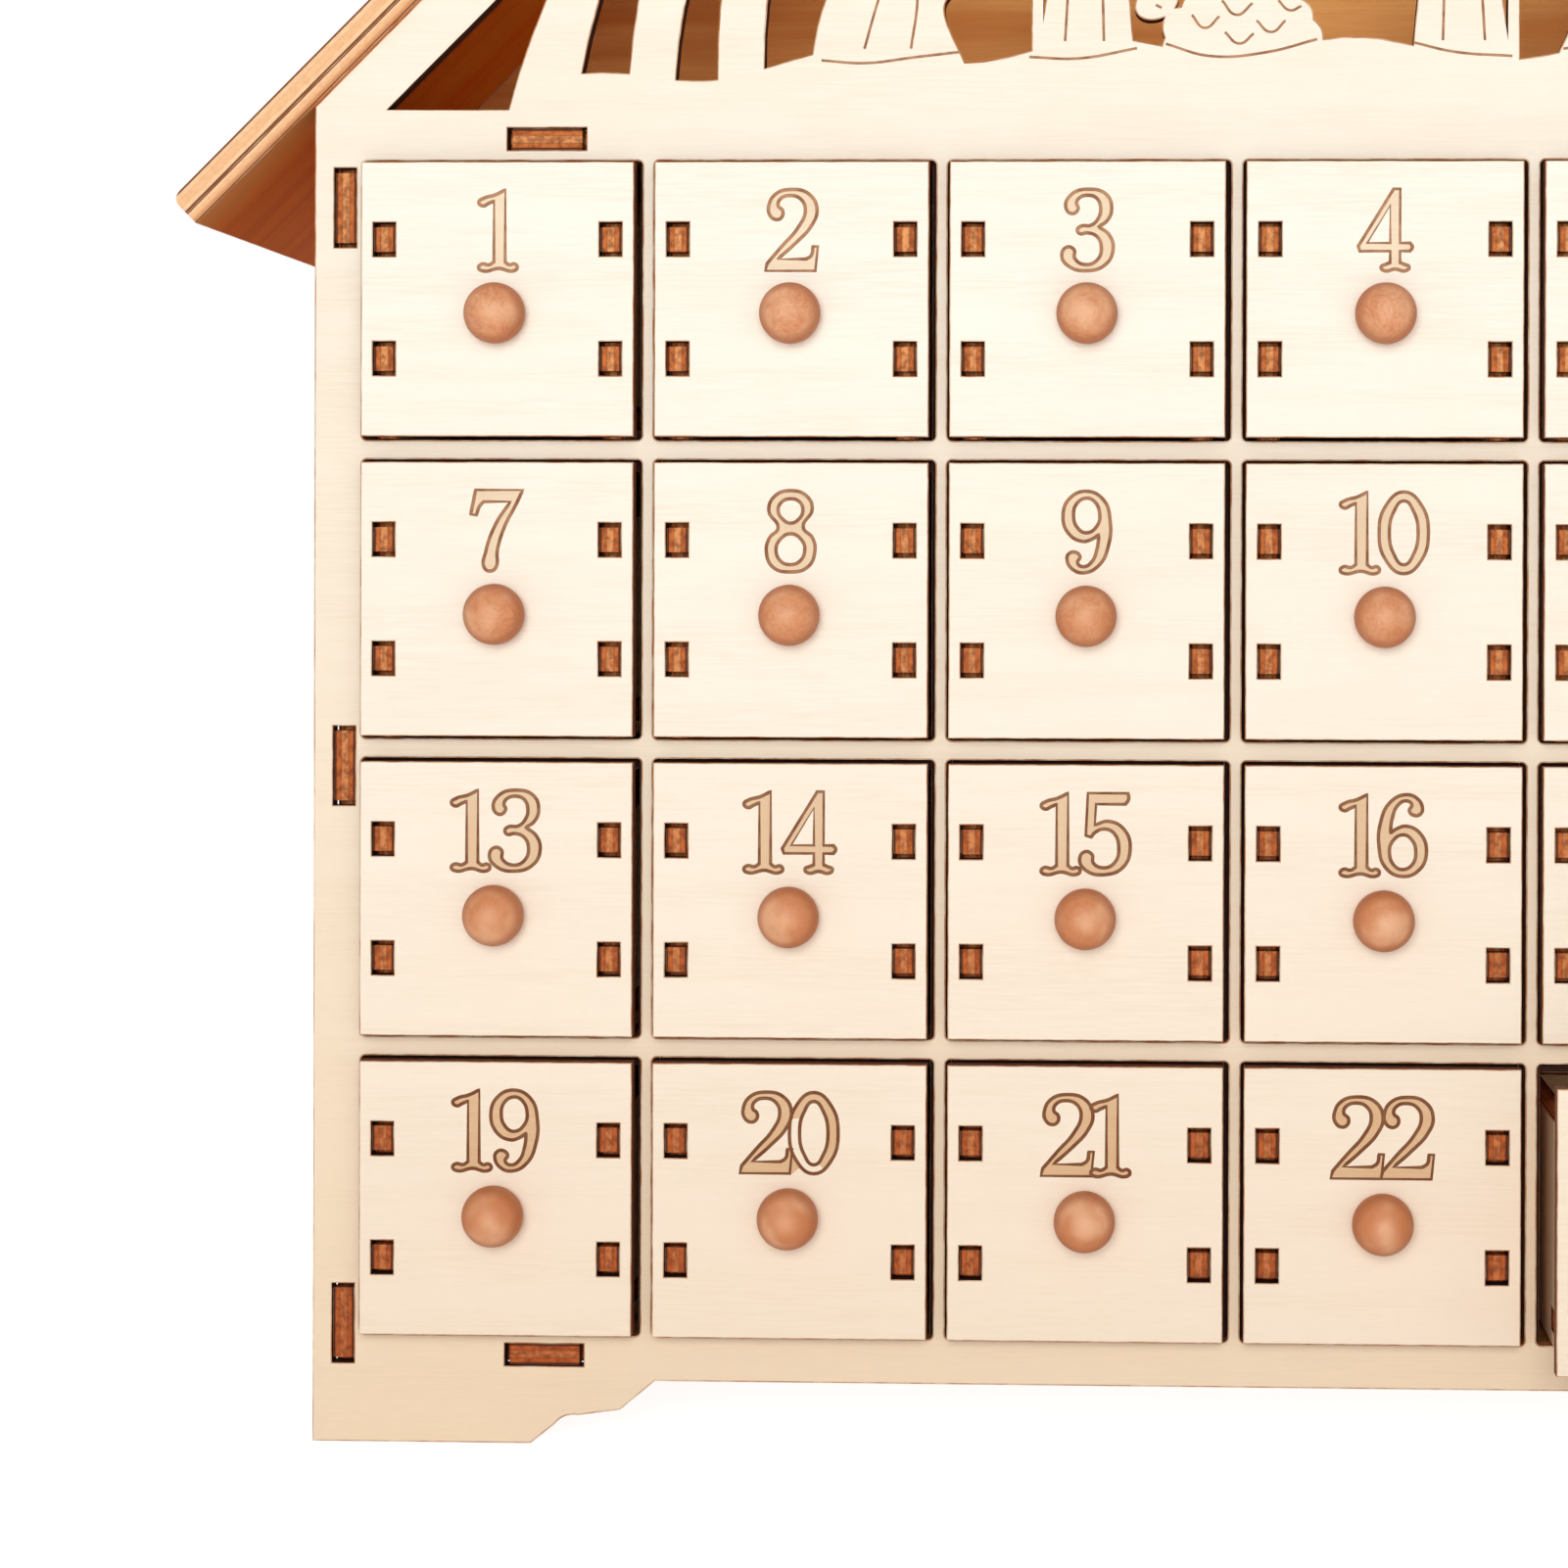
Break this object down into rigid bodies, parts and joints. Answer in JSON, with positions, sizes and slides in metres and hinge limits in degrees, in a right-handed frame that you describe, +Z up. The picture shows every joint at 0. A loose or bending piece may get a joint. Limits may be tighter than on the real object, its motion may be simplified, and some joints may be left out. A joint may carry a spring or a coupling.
{
  "type": "wooden advent calendar",
  "caption": "Plywood house-shaped advent calendar with a cut-out gable scene, a layered pitched roof and rows of numbered drawers that slide out on small round knobs.",
  "frame": {"origin": "on the table, in the middle of the calendar's box with one drawer standing open as pictured", "axes": "+Z up, the numbered front faces -Y, +X to the right as seen from the front"},
  "size_m": [0.2984, 0.1009, 0.3236],
  "materials": {
    "plywood": "bare sanded plywood with laser-darkened edges",
    "roof_plywood": "bare sanded plywood",
    "knob_wood": "turned beech, unvarnished"
  },
  "bodies": {
    "house": {"front_facade": "plywood", "back_panel": "plywood", "left_wall": "plywood", "right_wall": "plywood", "base_floor": "plywood", "attic_floor": "plywood", "shelves": "plywood", "dividers": "plywood", "roof_left_inner": "roof_plywood", "roof_left_outer": "roof_plywood", "roof_right_inner": "roof_plywood", "roof_right_outer": "roof_plywood"},
    "drawer_01": {"drawer_01": "plywood", "knob_01": "knob_wood"},
    "drawer_02": {"drawer_02": "plywood", "knob_02": "knob_wood"},
    "drawer_03": {"drawer_03": "plywood", "knob_03": "knob_wood"},
    "drawer_04": {"drawer_04": "plywood", "knob_04": "knob_wood"},
    "drawer_05": {"drawer_05": "plywood", "knob_05": "knob_wood"},
    "drawer_06": {"drawer_06": "plywood", "knob_06": "knob_wood"},
    "drawer_07": {"drawer_07": "plywood", "knob_07": "knob_wood"},
    "drawer_08": {"drawer_08": "plywood", "knob_08": "knob_wood"},
    "drawer_09": {"drawer_09": "plywood", "knob_09": "knob_wood"},
    "drawer_10": {"drawer_10": "plywood", "knob_10": "knob_wood"},
    "drawer_11": {"drawer_11": "plywood", "knob_11": "knob_wood"},
    "drawer_12": {"drawer_12": "plywood", "knob_12": "knob_wood"},
    "drawer_13": {"drawer_13": "plywood", "knob_13": "knob_wood"},
    "drawer_14": {"drawer_14": "plywood", "knob_14": "knob_wood"},
    "drawer_15": {"drawer_15": "plywood", "knob_15": "knob_wood"},
    "drawer_16": {"drawer_16": "plywood", "knob_16": "knob_wood"},
    "drawer_17": {"drawer_17": "plywood", "knob_17": "knob_wood"},
    "drawer_18": {"drawer_18": "plywood", "knob_18": "knob_wood"},
    "drawer_19": {"drawer_19": "plywood", "knob_19": "knob_wood"},
    "drawer_20": {"drawer_20": "plywood", "knob_20": "knob_wood"},
    "drawer_21": {"drawer_21": "plywood", "knob_21": "knob_wood"},
    "drawer_22": {"drawer_22": "plywood", "knob_22": "knob_wood"},
    "drawer_23": {"drawer_23": "plywood", "knob_23": "knob_wood"},
    "drawer_24": {"drawer_24": "plywood", "knob_24": "knob_wood"}
  },
  "joints": [
    {"name": "drawer_01_slide", "type": "slide", "parent": "house", "child": "drawer_01", "axis": [0, -1, 0], "range_m": [0, 0.0587]},
    {"name": "drawer_02_slide", "type": "slide", "parent": "house", "child": "drawer_02", "axis": [0, -1, 0], "range_m": [0, 0.0587]},
    {"name": "drawer_03_slide", "type": "slide", "parent": "house", "child": "drawer_03", "axis": [0, -1, 0], "range_m": [0, 0.0587]},
    {"name": "drawer_04_slide", "type": "slide", "parent": "house", "child": "drawer_04", "axis": [0, -1, 0], "range_m": [0, 0.0587]},
    {"name": "drawer_05_slide", "type": "slide", "parent": "house", "child": "drawer_05", "axis": [0, -1, 0], "range_m": [0, 0.0587]},
    {"name": "drawer_06_slide", "type": "slide", "parent": "house", "child": "drawer_06", "axis": [0, -1, 0], "range_m": [0, 0.0587]},
    {"name": "drawer_07_slide", "type": "slide", "parent": "house", "child": "drawer_07", "axis": [0, -1, 0], "range_m": [0, 0.0587]},
    {"name": "drawer_08_slide", "type": "slide", "parent": "house", "child": "drawer_08", "axis": [0, -1, 0], "range_m": [0, 0.0587]},
    {"name": "drawer_09_slide", "type": "slide", "parent": "house", "child": "drawer_09", "axis": [0, -1, 0], "range_m": [0, 0.0587]},
    {"name": "drawer_10_slide", "type": "slide", "parent": "house", "child": "drawer_10", "axis": [0, -1, 0], "range_m": [0, 0.0587]},
    {"name": "drawer_11_slide", "type": "slide", "parent": "house", "child": "drawer_11", "axis": [0, -1, 0], "range_m": [0, 0.0587]},
    {"name": "drawer_12_slide", "type": "slide", "parent": "house", "child": "drawer_12", "axis": [0, -1, 0], "range_m": [0, 0.0587]},
    {"name": "drawer_13_slide", "type": "slide", "parent": "house", "child": "drawer_13", "axis": [0, -1, 0], "range_m": [0, 0.0587]},
    {"name": "drawer_14_slide", "type": "slide", "parent": "house", "child": "drawer_14", "axis": [0, -1, 0], "range_m": [0, 0.0587]},
    {"name": "drawer_15_slide", "type": "slide", "parent": "house", "child": "drawer_15", "axis": [0, -1, 0], "range_m": [0, 0.0587]},
    {"name": "drawer_16_slide", "type": "slide", "parent": "house", "child": "drawer_16", "axis": [0, -1, 0], "range_m": [0, 0.0587]},
    {"name": "drawer_17_slide", "type": "slide", "parent": "house", "child": "drawer_17", "axis": [0, -1, 0], "range_m": [0, 0.0587]},
    {"name": "drawer_18_slide", "type": "slide", "parent": "house", "child": "drawer_18", "axis": [0, -1, 0], "range_m": [0, 0.0587]},
    {"name": "drawer_19_slide", "type": "slide", "parent": "house", "child": "drawer_19", "axis": [0, -1, 0], "range_m": [0, 0.0587]},
    {"name": "drawer_20_slide", "type": "slide", "parent": "house", "child": "drawer_20", "axis": [0, -1, 0], "range_m": [0, 0.0587]},
    {"name": "drawer_21_slide", "type": "slide", "parent": "house", "child": "drawer_21", "axis": [0, -1, 0], "range_m": [0, 0.0587]},
    {"name": "drawer_22_slide", "type": "slide", "parent": "house", "child": "drawer_22", "axis": [0, -1, 0], "range_m": [0, 0.0587]},
    {"name": "drawer_23_slide", "type": "slide", "parent": "house", "child": "drawer_23", "axis": [0, -1, 0], "range_m": [-0.018, 0.0407]},
    {"name": "drawer_24_slide", "type": "slide", "parent": "house", "child": "drawer_24", "axis": [0, -1, 0], "range_m": [0, 0.0587]}
  ]
}
